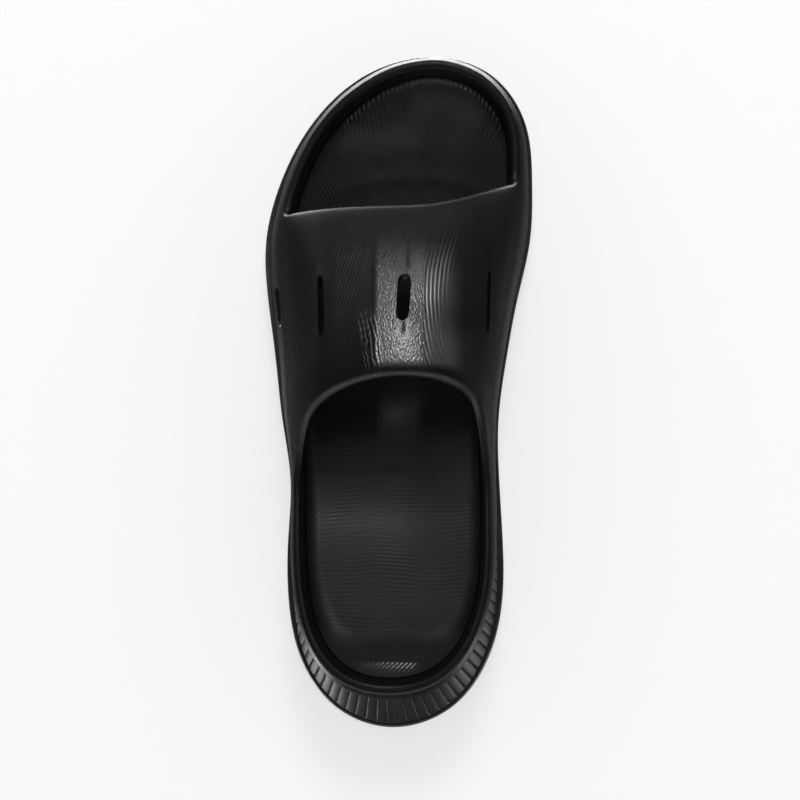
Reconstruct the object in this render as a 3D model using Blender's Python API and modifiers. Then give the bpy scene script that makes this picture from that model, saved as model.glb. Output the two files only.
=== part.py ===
"""A sport slide sandal for the left foot, moulded from foam, with a single wide strap.

Four pieces: an outsole with tread grooves, a midsole with a ribbed heel wall and a pocket,
a cupped footbed in that pocket, and one hollow upper that is rim, side wall, heel cup and strap.
Metres, +Z up, the toe towards +Y and the inner side of the foot towards +X.
The origin lies on the floor, below the middle of the sandal.
"""

from collections import namedtuple

import bmesh
import bpy
import numpy as np

# Overall sizes
LENGTH = 0.302
WIDTH = 0.122
RIM_HEIGHT = 0.048
STACK_HEIGHT = 0.034
STRAP_HEIGHT = 0.0945

# How the sole leaves the floor
HEEL_LIFT = 0.006
TOE_SPRING = 0.024
ARCH_LIFT = 0.0025

# The upper's wall
WALL = 0.0055
STRAP_WALL = 0.005
RIM_ROUND = 0.0025
WALL_BULGE = 0.0008
FLARE = 0.008
LEAN = 0.15

# The strap's place, measured from the toe tip and along the crest
TOE_OPENING = 0.0783
STRAP_LENGTH = 0.0735
FRONT_LEAD_MEDIAL = 0.0148
FRONT_LEAD_LATERAL = 0.0033
COLLAR_DEPTH = 0.0393
COLLAR_SLANT = 0.0035

# The footbed and its cup
FOOTBED_WALL = 0.004
CUP_RISE = 0.012
CUP_RUN = 0.019
ARCH_BUMP = 0.006
ARCH_BUMP_LENGTH = 0.045
TOE_BAR = 0.0025
TOE_BAR_WIDTH = 0.004

# The step between outsole and upper, and the ribs of the heel wall
LEDGE = 0.0026
RIB_PITCH = 0.0051
RIBBED_LENGTH = 0.100
GROOVE_WIDTH = 0.0011
GROOVE_DEPTH = 0.0009
GROOVE_MARGIN = 0.0014
FADE_FROM = 0.004
FADE_OVER = 0.008

# The tread
TREAD_PITCH = 0.0125
TREAD_WIDTH = 0.0025
TREAD_DEPTH = 0.0018
TREAD_MARGIN = 0.012
TREAD_BOW = 0.004

# Room between neighbouring pieces
GAP = 0.00035

# One row for each section of the last, from the heel to the toe. along is a share of LENGTH,
# lateral and medial of WIDTH, flare and tuck of FLARE, wall of WALL, rim and seam of RIM_HEIGHT,
# band and floor of STACK_HEIGHT, rise of CUP_RISE, run of CUP_RUN and ledge of LEDGE.
Section = namedtuple(
    "Section",
    "along lateral medial flare_lateral flare_medial tuck_lateral tuck_medial wall "
    "rim seam band floor rise run ledge")
SECTIONS = (
    Section(0.000, -0.022, -0.022, 1.36, 1.36, 1.28, 1.28, 1.00, 1.000, 0.750, 0.180, 0.735, 1.00, 1.00, 0.55),
    Section(0.032, -0.236, 0.202, 1.07, 1.05, 1.00, 0.98, 0.98, 1.065, 0.804, 0.220, 0.826, 0.96, 0.95, 0.60),
    Section(0.100, -0.358, 0.326, 0.875, 0.79, 0.80, 0.75, 0.87, 1.130, 0.860, 0.303, 0.965, 0.71, 0.63, 0.75),
    Section(0.190, -0.406, 0.381, 0.75, 0.63, 0.60, 0.55, 0.78, 1.104, 0.770, 0.368, 0.985, 0.46, 0.42, 0.92),
    Section(0.280, -0.408, 0.383, 0.62, 0.52, 0.35, 0.30, 0.73, 1.052, 0.583, 0.412, 0.956, 0.38, 0.34, 1.00),
    Section(0.370, -0.400, 0.3715, 0.45, 0.40, 0.18, 0.16, 0.70, 0.974, 0.380, 0.404, 0.860, 0.38, 0.32, 0.92),
    Section(0.460, -0.431, 0.371, 0.68, 0.33, 0.18, 0.12, 0.75, 0.950, 0.3375, 0.430, 0.810, 0.38, 0.32, 0.85),
    Section(0.553, -0.458, 0.402, 0.95, 0.32, 0.24, 0.12, 0.82, 0.948, 0.350, 0.456, 0.794, 0.42, 0.32, 0.85),
    Section(0.643, -0.487, 0.444, 1.10, 0.52, 0.28, 0.14, 0.82, 0.917, 0.3375, 0.441, 0.750, 0.42, 0.32, 0.85),
    Section(0.730, -0.496, 0.4905, 1.05, 0.66, 0.30, 0.16, 0.85, 0.860, 0.290, 0.376, 0.685, 0.42, 0.32, 0.85),
    Section(0.818, -0.4425, 0.500, 0.92, 0.60, 0.36, 0.20, 0.92, 0.765, 0.254, 0.300, 0.594, 0.42, 0.32, 0.70),
    Section(0.906, -0.323, 0.475, 0.83, 0.58, 0.45, 0.30, 0.96, 0.646, 0.270, 0.220, 0.500, 0.33, 0.29, 0.60),
    Section(0.972, -0.137, 0.360, 0.83, 0.70, 0.50, 0.40, 0.96, 0.550, 0.300, 0.203, 0.438, 0.27, 0.26, 0.60),
    Section(1.000, 0.134, 0.134, 0.65, 0.65, 0.42, 0.42, 0.96, 0.500, 0.290, 0.206, 0.426, 0.25, 0.26, 0.60),
)

# The strap's crest, from its front edge to its rear edge. along is a share of the strap's length,
# across a share of WIDTH and height a share of STRAP_HEIGHT.
Crest = namedtuple("Crest", "along across height")
CREST = (
    Crest(0.00, 0.067, 0.720),
    Crest(0.25, 0.061, 0.820),
    Crest(0.50, 0.055, 0.905),
    Crest(0.75, 0.049, 0.965),
    Crest(1.00, 0.042, 0.995),
)

# The cage of the upper: cells round half the toe and half the heel, shares along the strap, and
# shares across it from the lateral base over the crest to the medial base. The shares across are
# given for the strap's two edges, for the slots' start and for the slots' end.
TOE_CELLS = 7
HEEL_CELLS = 11
STRAP_ALONG = (0.0, 0.085, 0.17, 0.255, 0.34, 0.435, 0.535, 0.64, 0.74, 0.825, 0.915, 1.0)
EDGE_ACROSS = (-1.0, -0.92, -0.80, -0.63, -0.37, -0.12, 0.12, 0.38, 0.63, 0.80, 0.92, 1.0)
START_ACROSS = (-1.0, -0.9, -0.71, -0.66, -0.36, -0.072, 0.050, 0.44, 0.80, 0.84, 0.93, 1.0)
END_ACROSS = (-1.0, -0.9, -0.71, -0.66, -0.36, -0.072, 0.050, 0.48, 0.88, 0.908, 0.96, 1.0)

# Where the slots start and end along the strap
MIDDLE_SLOT = (STRAP_ALONG[5], STRAP_ALONG[8])
LATERAL_SLOT = (0.345, 0.70)
MEDIAL_SLOT = (0.35, 0.62)

# How the strap's arch fills out towards its sides: sweep for the line in plan, rise for the height,
# and how flat it is over its middle
SWEEP_FRONT = 1.0
SWEEP_LATERAL = 0.33
SWEEP_MEDIAL = 0.17
ARCH_RISE = 0.62
ARCH_FLATNESS = 2.4
BASE_CREASE = 0.45

# Openings of the cage. A slot takes one cell across and the cells between two shares along.
Slot = namedtuple("Slot", "across first last")
SLOTS = (
    Slot(2, 5, 8),
    Slot(5, 5, 8),
    Slot(8, 5, 8),
)
VENT = Slot(None, 3, 5)
MOUTH_CREASE = 1.0

FIELDS = ("x", "y", "flare", "tuck", "wall", "rim", "seam", "band", "rise", "run", "ledge")


def cubic(knots, values, closed=False):
    """A smooth spline through rows of values; the result gives rows and their slopes."""
    knots = np.asarray(knots, float)
    values = np.asarray(values, float)
    steps = np.diff(knots)
    count = len(knots) - 1 if closed else len(knots)
    system = np.eye(count)
    right = np.zeros((count, values.shape[1]))
    slopes = np.diff(values, axis=0) / steps[:, None]
    for i in range(count):
        if not closed and i in (0, count - 1):
            continue
        before = steps[i - 1]
        after = steps[i]
        system[i, i] = 2 * (before + after)
        system[i, i - 1] += before
        system[i, (i + 1) % count] += after
        right[i] = 6 * (slopes[i] - slopes[i - 1])
    bends = np.linalg.solve(system, right)
    if closed:
        bends = np.vstack((bends, bends[:1]))

    def at(where):
        where = np.atleast_1d(np.asarray(where, float))
        cell = np.clip(np.searchsorted(knots, where, side="right") - 1, 0, len(steps) - 1)
        step = steps[cell][:, None]
        ahead = knots[cell + 1][:, None] - where[:, None]
        behind = where[:, None] - knots[cell][:, None]
        low = values[cell] / step - bends[cell] * step / 6
        high = values[cell + 1] / step - bends[cell + 1] * step / 6
        value = (bends[cell] * ahead ** 3 + bends[cell + 1] * behind ** 3) / (6 * step)
        value = value + low * ahead + high * behind
        slope = (bends[cell + 1] * behind ** 2 - bends[cell] * ahead ** 2) / (2 * step)
        slope = slope - low + high
        return value, slope

    return at


def smooth_step(share):
    """0 below 0 and 1 above 1, with a smooth rise between."""
    share = np.clip(share, 0, 1)
    return share * share * (3 - 2 * share)


def ground(y):
    """Height of the sole's underside over the floor."""
    along = np.asarray(y, float) / LENGTH + 0.5
    heel = HEEL_LIFT * (np.clip(0.14 - along, 0, None) / 0.14) ** 1.6
    toe = TOE_SPRING * (np.clip(along - 0.64, 0, None) / 0.36) ** 1.9
    arch = ARCH_LIFT * np.sin(np.pi * np.clip((along - 0.30) / 0.22, 0, 1)) ** 2
    return heel + toe + arch


def station(section, side):
    """One section's point of the outline, with its sizes."""
    across = section.lateral if side == "lateral" else section.medial
    flare = section.flare_lateral if side == "lateral" else section.flare_medial
    tuck = section.tuck_lateral if side == "lateral" else section.tuck_medial
    return (
        across * WIDTH,
        (section.along - 0.5) * LENGTH,
        flare * FLARE,
        tuck * FLARE,
        section.wall * WALL,
        section.rim * RIM_HEIGHT,
        section.seam * RIM_HEIGHT,
        section.band * STACK_HEIGHT,
        section.rise * CUP_RISE,
        section.run * CUP_RUN,
        section.ledge * LEDGE,
    )


def outline_rows():
    """The closed outline, clockwise from above: toe tip, medial side, heel tip, lateral side."""
    inner = SECTIONS[1:-1]
    rows = [station(SECTIONS[-1], "medial")]
    rows += [station(section, "medial") for section in reversed(inner)]
    rows += [station(SECTIONS[0], "medial")]
    rows += [station(section, "lateral") for section in inner]
    rows += [rows[0]]
    return np.array(rows)


ROWS = outline_rows()
KNOTS = np.concatenate(([0.0], np.cumsum(np.hypot(*np.diff(ROWS[:, :2], axis=0).T))))
HEEL_TIP = KNOTS[len(SECTIONS) - 1]
AROUND = KNOTS[-1]
OUTLINE = cubic(KNOTS, ROWS, closed=True)
FLOOR = cubic([section.along for section in SECTIONS],
              [[section.floor * STACK_HEIGHT] for section in SECTIONS])
CREST_LINE = cubic([row.along for row in CREST],
                   [[row.across * WIDTH, row.height * STRAP_HEIGHT] for row in CREST])
TRACE = np.linspace(0, AROUND, 1500)
TRACE_POINTS = OUTLINE(TRACE)[0][:, :2]
MIDDLE = (TRACE_POINTS.max(axis=0) + TRACE_POINTS.min(axis=0)) / 2


def around(where):
    """The outline at given distances: a dictionary of columns, with the direction inwards."""
    values, slopes = OUTLINE(where)
    row = dict(zip(FIELDS, values.T))
    row["x"] = row["x"] - MIDDLE[0]
    row["y"] = row["y"] - MIDDLE[1]
    length = np.hypot(slopes[:, 0], slopes[:, 1])
    row["inward"] = np.column_stack((slopes[:, 1], -slopes[:, 0])) / length[:, None]
    row["ground"] = ground(row["y"])
    row["cup"] = row["flare"] + row["wall"] + LEAN * row["run"]
    row["cup_top"] = floor_height(*plan(row, row["cup"]).T) + row["rise"]
    return row


def plan(row, inset):
    """Points in plan at an inset from the outline."""
    return np.column_stack((row["x"], row["y"])) + row["inward"] * np.reshape(inset, (-1, 1))


def ring(row, inset, height):
    """Points at an inset from the outline and a height over the floor."""
    return np.column_stack((plan(row, inset), height))


def base_height(y):
    """Height of the footbed's middle before its bumps."""
    along = np.clip(np.asarray(y, float) / LENGTH + 0.5, 0, 1)
    return FLOOR(along.ravel())[0][:, 0].reshape(along.shape) + ground(y)


def floor_height(x, y):
    """Height of the footbed, with its arch bump and its toe bar."""
    arch_middle = -0.067 * LENGTH
    bump = ARCH_BUMP * np.exp(-((y - arch_middle) / ARCH_BUMP_LENGTH) ** 2) * smooth_step(x / (0.3 * WIDTH))
    bar_middle = 0.318 * LENGTH - 0.30 * LENGTH * (x / WIDTH - 0.05) ** 2
    inside = 1 - smooth_step((np.abs(x / WIDTH - 0.05) - 0.27) / 0.08)
    bar = TOE_BAR * np.exp(-((y - bar_middle) / TOE_BAR_WIDTH) ** 2) * inside
    return base_height(y) + bump + bar


def shoulder(row, inset):
    """Height of the midsole's shoulder, square to the slope of the upper's underside by a gap.

    That underside is a straight slope from the upper's foot in to the cup's edge.
    """
    foot = row["ground"] + row["seam"]
    slope = (row["cup_top"] - foot) / (row["cup"] - row["tuck"])
    return foot + slope * (inset - row["tuck"]) - GAP * np.hypot(1, slope)


def even_columns(count):
    """Distances round the outline, as many on the medial as on the lateral side."""
    half = count // 2
    medial = np.linspace(0, HEEL_TIP, half + 1)
    lateral = np.linspace(HEEL_TIP, AROUND, half + 1)
    return np.concatenate((medial, lateral[1:-1]))


def ribbed_columns(plain):
    """Distances round the outline with three columns for each groove, and the grooves' shares."""
    grooves = round(RIBBED_LENGTH / RIB_PITCH)
    from_heel = [0.0]
    depth = [0.0]
    for k in range(grooves):
        middle = (k + 0.5) * RIB_PITCH
        from_heel += [middle - GROOVE_WIDTH / 2, middle, middle + GROOVE_WIDTH / 2]
        depth += [0.0, 1.0, 0.0]
    last = from_heel[-1]
    shares = np.arange(1, plain + 1) / (plain + 1)
    medial = np.concatenate((from_heel, last + shares * (HEEL_TIP - last)))
    lateral = np.concatenate((from_heel, last + shares * (AROUND - HEEL_TIP - last)))
    depth = np.concatenate((depth, np.zeros(plain)))
    where = np.concatenate(([0.0], HEEL_TIP - medial[::-1], HEEL_TIP + lateral[1:]))
    share = np.concatenate(([0.0], depth[::-1], depth[1:]))
    return where, share


def solid_of_rings(rings, bottom, top, across):
    """A closed mesh: rings from the inner edge below round to the inner edge above, and two caps.

    bottom and top give the caps' heights from x and y, or are None for straight cross lines.
    """
    mesh = bmesh.new()
    loops = [[mesh.verts.new(point) for point in points] for points in rings]
    for low, high in zip(loops, loops[1:]):
        for i in range(len(low)):
            j = (i + 1) % len(low)
            mesh.faces.new((low[i], low[j], high[j], high[i]))
    for loop, height, cells in ((loops[0], bottom, across[0]), (loops[-1], top, across[1])):
        fill_across(mesh, loop, height, cells)
    bmesh.ops.recalc_face_normals(mesh, faces=mesh.faces)
    return mesh


def fill_across(mesh, loop, height, cells):
    """Close a loop with lines across it, from each point to its partner on the other side."""
    half = len(loop) // 2
    lines = []
    for i in range(1, half):
        near = loop[i]
        far = loop[-i]
        line = [near]
        for k in range(1, cells):
            point = near.co.lerp(far.co, k / cells)
            if height is not None:
                point.z = float(height(point.x, point.y))
            line.append(mesh.verts.new(point))
        line.append(far)
        lines.append(line)
    for k in range(cells):
        mesh.faces.new((loop[0], lines[0][k], lines[0][k + 1]))
        mesh.faces.new((loop[half], lines[-1][k + 1], lines[-1][k]))
    for line, following in zip(lines, lines[1:]):
        for k in range(cells):
            mesh.faces.new((line[k], following[k], following[k + 1], line[k + 1]))


def make_outsole():
    """The outsole: a rolled lower edge, a smooth side band and a flat top."""
    row = around(even_columns(64))
    rings = []
    for inset, share in ((0.008, 0.0), (0.004, 0.06), (0.0014, 0.25), (0.0002, 0.55), (0.0002, 0.85)):
        points = plan(row, inset)
        low = ground(points[:, 1])
        high = row["ground"] + row["band"]
        rings.append(np.column_stack((points, low + (high - low) * share)))
    rings.append(ring(row, 0.0006, row["ground"] + row["band"]))
    return solid_of_rings(rings, None, None, (1, 1))


def tread_lines():
    """Middle lines of the tread's grooves, as rows of points in plan."""
    points = TRACE_POINTS - MIDDLE
    heel = np.argmin(points[:, 1])
    medial = points[:heel + 1][::-1]
    lateral = points[heel:]
    lateral = lateral[np.argsort(lateral[:, 1])]
    lines = []
    for start, end, bow in ((-0.42, -0.21, -1), (0.03, 0.40, 1)):
        count = int((end - start) * LENGTH / TREAD_PITCH)
        for k in range(count + 1):
            y = start * LENGTH + k * TREAD_PITCH
            left = np.interp(y, lateral[:, 1], lateral[:, 0]) + TREAD_MARGIN
            right = np.interp(y, medial[:, 1], medial[:, 0]) - TREAD_MARGIN
            share = np.linspace(-1, 1, 7)
            x = (left + right) / 2 + share * (right - left) / 2
            lines.append(np.column_stack((x, y + bow * TREAD_BOW * (0.5 - share ** 2))))
    return lines


def tread_cutter():
    """Bars that cut the tread's grooves into the outsole, following its underside."""
    mesh = bmesh.new()
    for line in tread_lines():
        heights = ground(line[:, 1]) + TREAD_DEPTH
        loops = []
        for (x, y), height in zip(line, heights):
            corners = (
                (x, y - TREAD_WIDTH / 2, height - 2 * TREAD_DEPTH),
                (x, y + TREAD_WIDTH / 2, height - 2 * TREAD_DEPTH),
                (x, y + 0.3 * TREAD_WIDTH, height),
                (x, y - 0.3 * TREAD_WIDTH, height),
            )
            loops.append([mesh.verts.new(corner) for corner in corners])
        for low, high in zip(loops, loops[1:]):
            for i in range(4):
                mesh.faces.new((low[i], low[i - 1], high[i - 1], high[i]))
        mesh.faces.new(loops[0])
        mesh.faces.new(loops[-1][::-1])
    bmesh.ops.recalc_face_normals(mesh, faces=mesh.faces)
    return mesh


def make_midsole():
    """The midsole: a ribbed wall, a shoulder under the upper and a pocket for the footbed."""
    where, share = ribbed_columns(26)
    row = around(where)
    foot = row["ground"] + row["band"] + GAP
    top_inset = np.maximum(row["tuck"] + GAP, row["ledge"])
    top = np.maximum(shoulder(row, top_inset), foot + 2 * GAP)
    height = top - foot
    fade = smooth_step((height - FADE_FROM) / FADE_OVER)
    margin = np.minimum(GROOVE_MARGIN, 0.2 * height)
    depth = share * fade * GROOVE_DEPTH
    rings = []
    levels = ((0 * height, 0), (margin, 0), (2 * margin, 1), (height - 2 * margin, 1),
              (height - margin, 0), (height, 0))
    for rise, cut in levels:
        inset = row["ledge"] + (top_inset - row["ledge"]) * rise / height + cut * depth
        rings.append(ring(row, inset, foot + rise))
    half_way = (top_inset + row["cup"]) / 2
    rings.append(ring(row, half_way, shoulder(row, half_way)))
    rings.append(ring(row, row["cup"], shoulder(row, row["cup"])))
    pocket = plan(row, row["cup"])
    rings.append(np.column_stack((pocket, base_height(pocket[:, 1]) - FOOTBED_WALL - GAP)))
    return solid_of_rings(rings, None, None, (1, 1))


def make_footbed():
    """The footbed: a cup whose edge rises round the foot, over a flat underside."""
    row = around(even_columns(60))
    edge = plan(row, row["cup"] + GAP)
    heel_to_toe = 0.72
    half = len(edge) // 2
    partner = edge[(-np.arange(len(edge))) % len(edge)]
    spine = (edge + partner) / 2
    spine[:, 1] = spine[:, 1] * heel_to_toe
    spine[:, 0] = np.interp(spine[:, 1], ((edge + partner) / 2)[half::-1, 1], ((edge + partner) / 2)[half::-1, 0])
    inward = spine - edge
    inward = inward / np.hypot(inward[:, 0], inward[:, 1])[:, None]
    rings = [np.column_stack((edge, base_height(edge[:, 1]) - FOOTBED_WALL))]
    for turn in (0, 25, 50, 72, 90):
        angle = np.radians(turn)
        points = edge + inward * (row["run"] * (1 - np.cos(angle)))[:, None]
        height = floor_height(points[:, 0], points[:, 1]) + row["rise"] * (1 - np.sin(angle))
        rings.append(np.column_stack((points, height)))
    return solid_of_rings(rings, None, floor_height, (1, 8))


def where_at(y, side):
    """Distance round the outline at which a side of it has a given y."""
    points = TRACE_POINTS[:, 1] - MIDDLE[1]
    toe = np.argmax(points)
    heel = np.argmin(points)
    if side == "medial":
        rows = np.arange(toe, heel + 1) if toe < heel else np.arange(0, heel + 1)
        return np.interp(-y, -points[rows], TRACE[rows])
    rows = np.arange(heel, len(points)) if toe < heel else np.arange(heel, toe + 1)
    return np.interp(y, points[rows], TRACE[rows])


def through(points):
    """Cage points whose smooth limit passes through the given closed row of points."""
    count = len(points)
    system = np.eye(count) * 4 / 6
    for i in range(count):
        system[i, i - 1] += 1 / 6
        system[i, (i + 1) % count] += 1 / 6
    return np.linalg.solve(system, points)


def upper_columns():
    """Distances round the outline of the upper's columns, from the toe tip over the medial side."""
    front = LENGTH / 2 - TOE_OPENING
    rear = front - STRAP_LENGTH - COLLAR_DEPTH
    medial_front = where_at(front + FRONT_LEAD_MEDIAL, "medial")
    lateral_front = where_at(front + FRONT_LEAD_LATERAL, "lateral")
    medial_rear = where_at(rear, "medial")
    lateral_rear = where_at(rear, "lateral")
    shares = np.array(STRAP_ALONG)
    return np.concatenate((
        np.linspace(0, medial_front, TOE_CELLS + 1)[:-1],
        medial_front + shares * (medial_rear - medial_front),
        np.linspace(medial_rear, HEEL_TIP, HEEL_CELLS + 1)[1:],
        np.linspace(HEEL_TIP, lateral_rear, HEEL_CELLS + 1)[1:-1],
        lateral_front + shares[::-1] * (lateral_rear - lateral_front),
        np.linspace(lateral_front, AROUND, TOE_CELLS + 1)[1:-1],
    ))


def wall_rows():
    """The upper's wall as closed rows of cage points: foot to rim outside, rim to cup inside."""
    row = around(upper_columns())
    foot = row["ground"] + row["seam"]
    edge = row["ground"] + row["rim"] - RIM_ROUND
    rows = {"foot": ring(row, row["tuck"], foot)}
    for name, share in (("low", 0.45), ("high", 0.8)):
        inset = row["tuck"] + (row["flare"] - row["tuck"]) * share - WALL_BULGE
        rows[name] = ring(row, inset, foot + (edge - foot) * share)
    rows["rim"] = ring(row, row["flare"], edge)
    inner = row["flare"] + row["wall"]
    rows["inner rim"] = ring(row, inner, edge)
    for name, share in (("inner high", 0.33), ("inner low", 0.67)):
        inset = inner + (row["cup"] - inner) * share
        rows[name] = ring(row, inset, edge + (row["cup_top"] - edge) * share)
    rows["cup"] = ring(row, row["cup"], row["cup_top"])
    return {name: through(points) for name, points in rows.items()}


def strap_point(lateral, medial, along, across, drop):
    """A point of the strap on an arch from one base over the crest to the other.

    drop is the depth below the outside. The inside reaches further back, so the collar's edge slants.
    """
    crest_x, crest_z = CREST_LINE(along)[0][0]
    crest_y = LENGTH / 2 - TOE_OPENING - along * (STRAP_LENGTH + COLLAR_SLANT * drop / STRAP_WALL)
    base, sweep_rear = (lateral, SWEEP_LATERAL) if across < 0 else (medial, SWEEP_MEDIAL)
    sweep = SWEEP_FRONT + (sweep_rear - SWEEP_FRONT) * along
    x = crest_x + (base[0] - crest_x) * abs(across)
    y = base[1] + (crest_y - base[1]) * (1 - across ** 2) ** sweep
    z = base[2] + (crest_z - drop - base[2]) * (1 - abs(across) ** ARCH_FLATNESS) ** ARCH_RISE
    return np.array((x, y, z))


class Cage:
    """Points with names, and the faces and creases between them."""

    def __init__(self):
        self.mesh = bmesh.new()
        self.crease = self.mesh.edges.layers.float.new("crease_edge")
        self.points = {}

    def point(self, name, place):
        self.points[name] = self.mesh.verts.new(place)

    def face(self, *names):
        self.mesh.faces.new([self.points[name] for name in names])

    def sharpen(self, names, amount):
        for first, second in zip(names, names[1:]):
            edge = self.mesh.edges.get((self.points[first], self.points[second]))
            edge[self.crease] = amount

    def tunnel(self, outer, inner):
        """Join the border of a hole outside with the border of the hole inside."""
        outer = outer + outer[:1]
        inner = inner + inner[:1]
        for i in range(len(outer) - 1):
            self.face(outer[i], outer[i + 1], inner[i + 1], inner[i])
        self.sharpen(outer, MOUTH_CREASE)
        self.sharpen(inner, MOUTH_CREASE)


def make_upper():
    """The upper: one hollow wall, with a strap arched over it and openings cut through."""
    cage = Cage()
    rows = wall_rows()
    count = len(rows["foot"])
    cells_along = len(STRAP_ALONG) - 1
    cells_across = len(EDGE_ACROSS) - 1
    medial_front = TOE_CELLS
    medial_rear = medial_front + cells_along
    lateral_rear = medial_rear + 2 * HEEL_CELLS
    lateral_front = lateral_rear + cells_along
    for name, points in rows.items():
        for i, place in enumerate(points):
            cage.point((name, i), place)

    def strap_name(side, r, c):
        base = "rim" if side == "outer" else "inner rim"
        if r == 0:
            return (base, lateral_front - c)
        if r == cells_across:
            return (base, medial_front + c)
        return (side, r, c)

    slot_ends = {}
    for slot, ends in zip(SLOTS, (LATERAL_SLOT, MIDDLE_SLOT, MEDIAL_SLOT)):
        slot_ends[slot.across] = ends
        slot_ends[slot.across + 1] = ends
    stations = (0, *MIDDLE_SLOT, 1)
    for side, base, drop in (("outer", "rim", 0.0), ("inner", "inner rim", STRAP_WALL)):
        lateral = np.array([rows[base][lateral_front - c] for c in range(cells_along + 1)])
        medial = np.array([rows[base][medial_front + c] for c in range(cells_along + 1)])
        for c, along in enumerate(STRAP_ALONG):
            for r in range(1, cells_across):
                share = np.interp(along, stations, (0, *slot_ends.get(r, MIDDLE_SLOT), 1))
                shares_across = (EDGE_ACROSS[r], START_ACROSS[r], END_ACROSS[r], EDGE_ACROSS[r])
                across = np.interp(along, stations, shares_across)
                bases = [[np.interp(share, STRAP_ALONG, row) for row in rim.T] for rim in (lateral, medial)]
                cage.point((side, r, c), strap_point(*bases, share, across, drop))

    open_cells = {(slot.across, c) for slot in SLOTS for c in range(slot.first, slot.last)}
    for side in ("outer", "inner"):
        for r in range(cells_across):
            for c in range(cells_along):
                if (r, c) in open_cells:
                    continue
                corners = ((r, c), (r, c + 1), (r + 1, c + 1), (r + 1, c))
                cage.face(*[strap_name(side, *corner) for corner in corners])

    vent = range(lateral_front - VENT.last, lateral_front - VENT.first)
    outside = ("foot", "low", "high", "rim")
    inside = ("inner rim", "inner high", "inner low", "cup")
    for names in (outside, inside, ("cup", "foot")):
        for low, high in zip(names, names[1:]):
            for i in range(count):
                if i in vent and (low, high) in (("low", "high"), ("inner high", "inner low")):
                    continue
                j = (i + 1) % count
                cage.face((low, i), (low, j), (high, j), (high, i))

    make_rims(cage, strap_name, (lateral_front, medial_front, medial_rear, lateral_rear), count, cells_across)

    for slot in SLOTS:
        cells = [(slot.across, c) for c in range(slot.first, slot.last)]
        cells += [(slot.across, slot.last)]
        cells += [(slot.across + 1, c) for c in range(slot.last, slot.first - 1, -1)]
        outer = [strap_name("outer", *cell) for cell in cells]
        inner = [strap_name("inner", *cell) for cell in cells]
        cage.tunnel(outer, inner)
    columns = list(range(vent.start, vent.stop + 1))
    outer = [("low", i) for i in columns] + [("high", i) for i in reversed(columns)]
    inner = [("inner low", i) for i in columns] + [("inner high", i) for i in reversed(columns)]
    cage.tunnel(outer, inner)
    for name in ("foot", "cup"):
        cage.sharpen([(name, i % count) for i in range(count + 1)], 1.0)
    for first, last in ((medial_front, medial_rear), (lateral_rear, lateral_front)):
        cage.sharpen([("rim", i) for i in range(first, last + 1)], BASE_CREASE)
    bmesh.ops.recalc_face_normals(cage.mesh, faces=cage.mesh.faces)
    return cage.mesh


def make_rims(cage, strap_name, corners, count, cells_across):
    """Round the edges of the toe opening and the collar, along the wall and along the strap."""
    lateral_front, medial_front, medial_rear, lateral_rear = corners
    last = len(STRAP_ALONG) - 1
    toe_wall = [(i % count) for i in range(lateral_front, count + medial_front + 1)]
    heel_wall = list(range(medial_rear, lateral_rear + 1))
    toe_strap = [(r, 0, 1) for r in range(cells_across - 1, 0, -1)]
    heel_strap = [(r, last, last - 1) for r in range(1, cells_across)]
    for label, wall, strap in (("toe", toe_wall, toe_strap), ("heel", heel_wall, heel_strap)):
        loop = []
        up = np.array((0, 0, RIM_ROUND))
        ahead = np.array((0, RIM_ROUND if label == "toe" else -RIM_ROUND, 0))
        for i in wall:
            offset = 0.7 * (up + ahead) if i in corners else up
            loop.append((("rim", i), ("inner rim", i), offset))
        for r, c, behind in strap:
            outer = strap_name("outer", r, c)
            inner = strap_name("inner", r, c)
            back = strap_name("outer", r, behind)
            run = np.array(cage.points[outer].co - cage.points[back].co)
            loop.append((outer, inner, RIM_ROUND * run / np.linalg.norm(run)))
        for k, (outer, inner, offset) in enumerate(loop):
            start = np.array(cage.points[outer].co)
            end = np.array(cage.points[inner].co)
            cage.point((label, "first", k), start + 0.15 * (end - start) + offset)
            cage.point((label, "second", k), start + 0.85 * (end - start) + offset)
        for k in range(len(loop)):
            j = (k + 1) % len(loop)
            cage.face(loop[k][0], loop[j][0], (label, "first", j), (label, "first", k))
            cage.face((label, "first", k), (label, "first", j), (label, "second", j), (label, "second", k))
            cage.face((label, "second", k), (label, "second", j), loop[j][1], loop[k][1])


def foam(name, colour, roughness):
    """A moulded foam: a dark surface with a soft gloss."""
    material = bpy.data.materials.new(name)
    material.use_nodes = True
    shader = material.node_tree.nodes["Principled BSDF"]
    shader.inputs["Base Color"].default_value = (*colour, 1.0)
    shader.inputs["Roughness"].default_value = roughness
    shader.inputs["Metallic"].default_value = 0.0
    return material


def place(name, mesh, material, collection):
    """Put a mesh into the scene as a named object."""
    data = bpy.data.meshes.new(name)
    mesh.to_mesh(data)
    mesh.free()
    data.shade_smooth()
    data.materials.append(material)
    piece = bpy.data.objects.new(name, data)
    collection.objects.link(piece)
    return piece


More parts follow.
